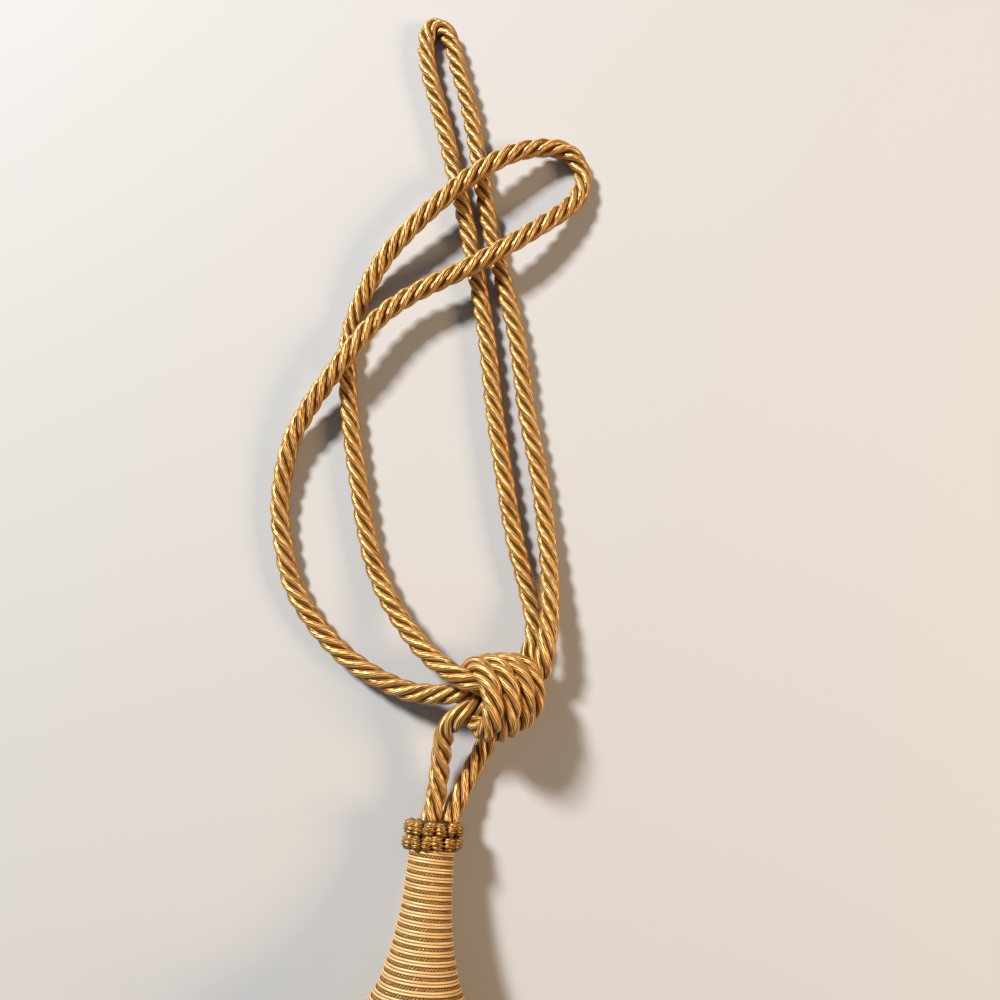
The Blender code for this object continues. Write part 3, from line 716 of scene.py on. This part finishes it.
def makeSkirt(piece):
    # each yarn keeps its angle and share of the bundle's section, a superellipse, and strays from them a
    # little towards its end: across = half width * cos(angle)^power, up = half height * sin(angle)^power
    random = np.random.default_rng(piece["seed"])
    scale = np.concatenate([np.full(n, s) for s, n in piece["shells"]])
    around = np.concatenate([2 * math.pi * (np.arange(n) + 0.5) / n for s, n in piece["shells"]])
    count = len(scale)
    around += random.normal(0, piece["spacing"], count)
    rows = np.array(piece["sections"])
    length = rows[-1, 0] + random.uniform(*piece["raggedEnds"], count)
    share = np.linspace(0, 1, piece["rings"])
    at = share[None, :] * length[:, None]
    wide, low, high, lean = (np.interp(at, rows[:, 0], rows[:, i]) for i in (1, 2, 3, 4))
    lean = np.radians(lean)
    power = np.interp(at, *zip(*piece["squareness"]))
    drift = random.normal(0, piece["drift"], count)[:, None]
    waves = random.uniform(*piece["waves"], count)[:, None]
    wave = piece["wave"] * np.sin(share * waves + random.uniform(0, piece["waveStart"], count)[:, None])
    angle = around[:, None] + share ** piece["strayPower"] * (drift + wave)
    inward = scale[:, None] * (1 - piece["drawIn"] * share * random.uniform(0, 1, count)[:, None])
    cosine, sine = np.cos(angle), np.sin(angle)
    across = np.sign(cosine) * np.abs(cosine) ** power * wide * inward
    height = np.sign(sine) * np.abs(sine) ** power * (high - low) / 2 * inward
    base = tassel["start"] + tasselAxis * piece["start"]
    base = np.array([base[0], base[1], 0])
    curve = base + mm * (
        (at - height * np.sin(lean))[..., None] * tasselFlat + across[..., None] * tasselSide
        + ((low + high) / 2 + height * np.cos(lean))[..., None] * np.array([0, 0, 1])
    )
    curve[..., 2] = np.maximum(curve[..., 2], piece["yarnRadius"])
    tangent = unit(np.gradient(curve, axis=1))
    flatSide = unit(np.cross(tangent, np.array([0, 0, 1.0])))
    upward = np.cross(flatSide, tangent)
    turn = 2 * math.pi * np.arange(piece["sides"]) / piece["sides"]
    taper = np.interp(share, *zip(*piece["taper"]))[:, None, None]
    ring = np.cos(turn)[:, None] * flatSide[:, :, None, :] + np.sin(turn)[:, None] * upward[:, :, None, :]
    points = (curve[:, :, None, :] + piece["yarnRadius"] * taper * ring).reshape(-1, 3)
    each = piece["rings"] * piece["sides"]
    starts = np.arange(count) * each
    quads = (tubeFaces(piece["rings"], piece["sides"])[None] + starts[:, None, None]).reshape(-1, 4)
    centres, caps = capTriangles(points, piece["rings"], piece["sides"], starts)
    local, owner = quads % each, quads // each
    u = at[owner, local // piece["sides"]] * mm + owner * piece["streakOffset"]
    v = sideCorners(local % piece["sides"], piece["sides"]) / piece["sides"] - 0.5
    v *= 2 * math.pi * piece["yarnRadius"]
    uv = np.concatenate([np.stack([u, v], axis=-1).reshape(-1, 2), np.zeros((caps.size, 2))])
    thing = meshFromArrays("fringe skirt", np.concatenate([points, centres]), quads, caps, uv)
    thing.data.materials.append(skirtYarn)
    return thing


fringe = makeSkirt(skirt)
print("skirt made")


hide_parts("upper_loop")
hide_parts("side_loop")
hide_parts("neck_left")
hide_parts("neck_right")
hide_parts("knot_coil")
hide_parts("ruff")
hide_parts("wound_head")
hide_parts("skirt")
for things, slotName in (
    (ropes.values(), "gold_cord"), ([ruffBeads, ruffBand], "ruff_gimp"),
    ([mould, *windings], "head_winding"), ([fringe], "skirt_yarn"),
):
    for thing in things:
        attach(thing, "root")
pathStep = 4 * mm
for label, piece in (("upper loop", upperLoop), ("side loop", sideLoop)):
    path = resample(piece["curve"], pathStep)


studio = {
    "tableHalf": 2.5,
    "tableColour": "#b3b1ad",
    "tableRoughness": 0.85,
    "aim": (0.0, 0.2, 0.0),
    # place, side of the square lamp in metres, watts, colour
    "window": ((-1.50, 1.80, 1.80), 0.46, 152, "#fbfcff"),
    "warm lamp": ((1.15, 0.05, 0.70), 0.40, 14, "#ffdcb0"),
    "skyColour": "#e4ebf6",
    "skyStrength": 0.20,
}


def makeTable():
    # a matt painted top: one flat square with its middle at the origin
    corners = studio["tableHalf"] * np.array([(-1, -1, 0), (1, -1, 0), (1, 1, 0), (-1, 1, 0)], float)
    thing = meshFromArrays("floor", corners, np.array([[0, 1, 2, 3]]))
    thing.data.materials.append(plainMaterial("pale table", studio["tableColour"], studio["tableRoughness"]))
    return thing


def addLamp(name):
    # a square lamp turned to face the aim
    place, size, power, colour = studio[name]
    light = bpy.data.lights.new(name, "AREA")
    light.size = size
    light.energy = power
    light.color = hexColour(colour)[:3]
    lamp = bpy.data.objects.new(name, light)
    lamp.location = place
    lamp.rotation_euler = (Vector(studio["aim"]) - Vector(place)).to_track_quat("-Z", "Y").to_euler()
    bpy.context.scene.collection.objects.link(lamp)


makeTable()
addLamp("window")
addLamp("warm lamp")
world = bpy.data.worlds.new("studio")
world.use_nodes = True
sky = world.node_tree.nodes["Background"]
sky.inputs["Color"].default_value = hexColour(studio["skyColour"])
sky.inputs["Strength"].default_value = studio["skyStrength"]
bpy.context.scene.world = world
bpy.context.scene.view_settings.view_transform = "Standard"
print("table and light set")
